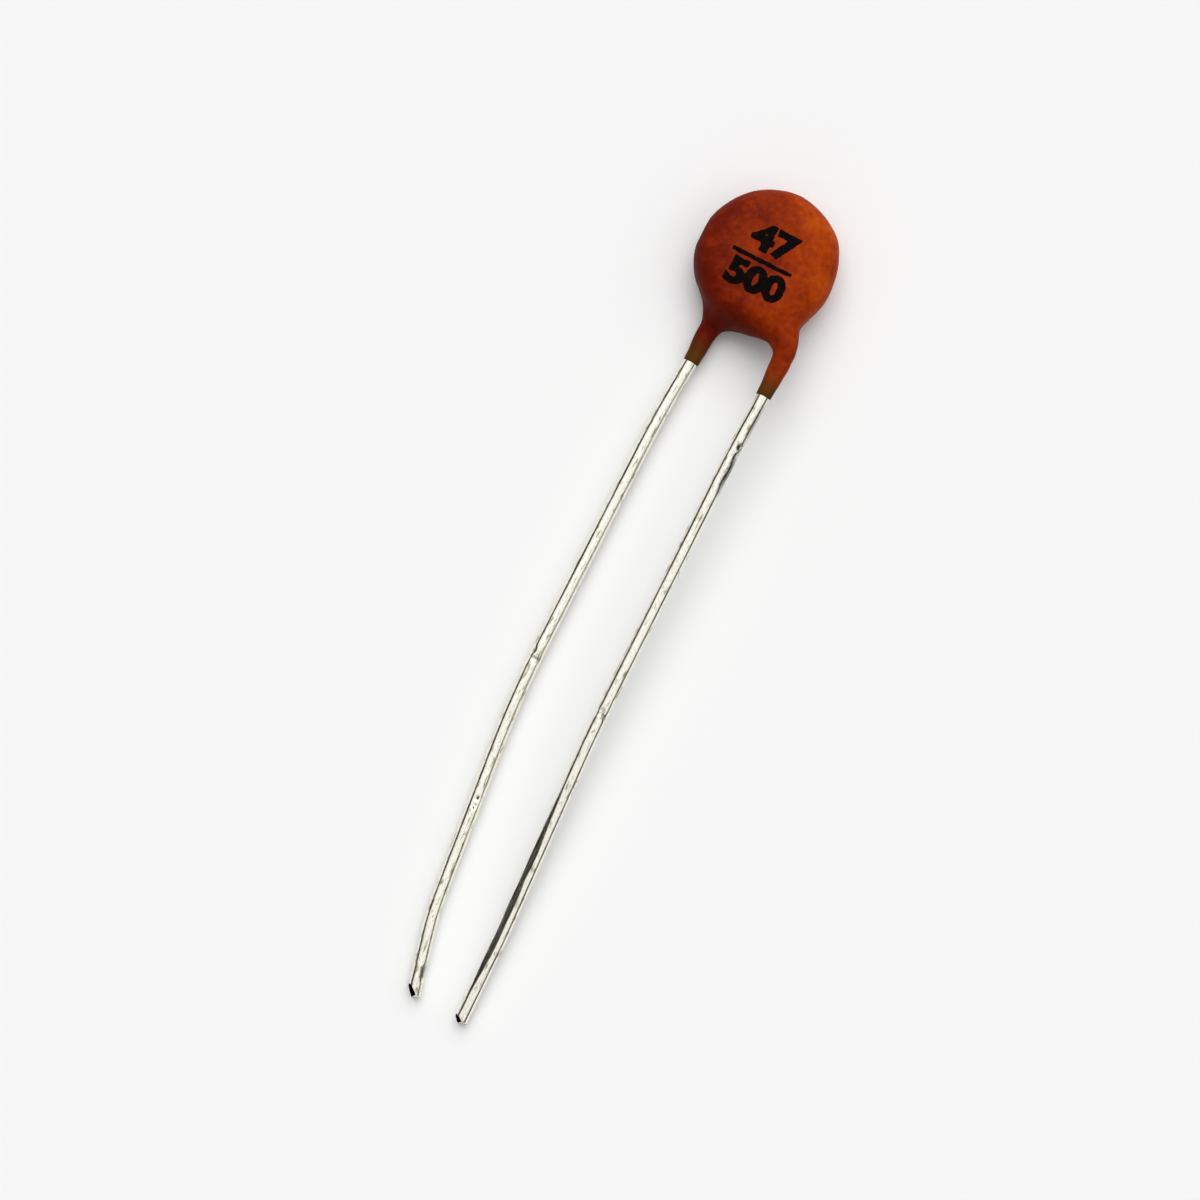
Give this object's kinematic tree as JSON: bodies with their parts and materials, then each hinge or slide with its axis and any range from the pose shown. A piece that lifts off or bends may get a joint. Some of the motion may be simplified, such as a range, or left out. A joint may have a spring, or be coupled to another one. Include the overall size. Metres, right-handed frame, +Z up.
{
  "type": "ceramic disc capacitor",
  "caption": "Radial-lead ceramic disc capacitor: a round resin-dipped disc with resin sleeves running down onto long, slightly bent tinned wire leads; stores charge in a circuit.",
  "frame": {"origin": "on the surface the part lies on, under the middle of its outer box", "axes": "+Y runs along the part from the lead tips to the disc, +Z is up out of the marked face, and +X is to the right seen from above with the disc at the top"},
  "size_m": [0.0052, 0.031, 0.0021],
  "materials": {
    "phenolic_coating": "dipped and cured resin, orange-brown, satin with a faint orange peel",
    "fired_ceramic": "fired, unglazed, fine-grained",
    "fired_silver": "screened and fired silver film, matt",
    "solder": "soft solder, smooth and set bright",
    "tinned_wire": "drawn and tinned wire, bright with fine drawing lines"
  },
  "bodies": {
    "root": {"coating": "phenolic_coating", "ceramic_disc": "fired_ceramic", "front_electrode": "fired_silver", "back_electrode": "fired_silver", "front_solder": "solder", "back_solder": "solder", "front_lead": "tinned_wire", "back_lead": "tinned_wire"}
  },
  "joints": []
}
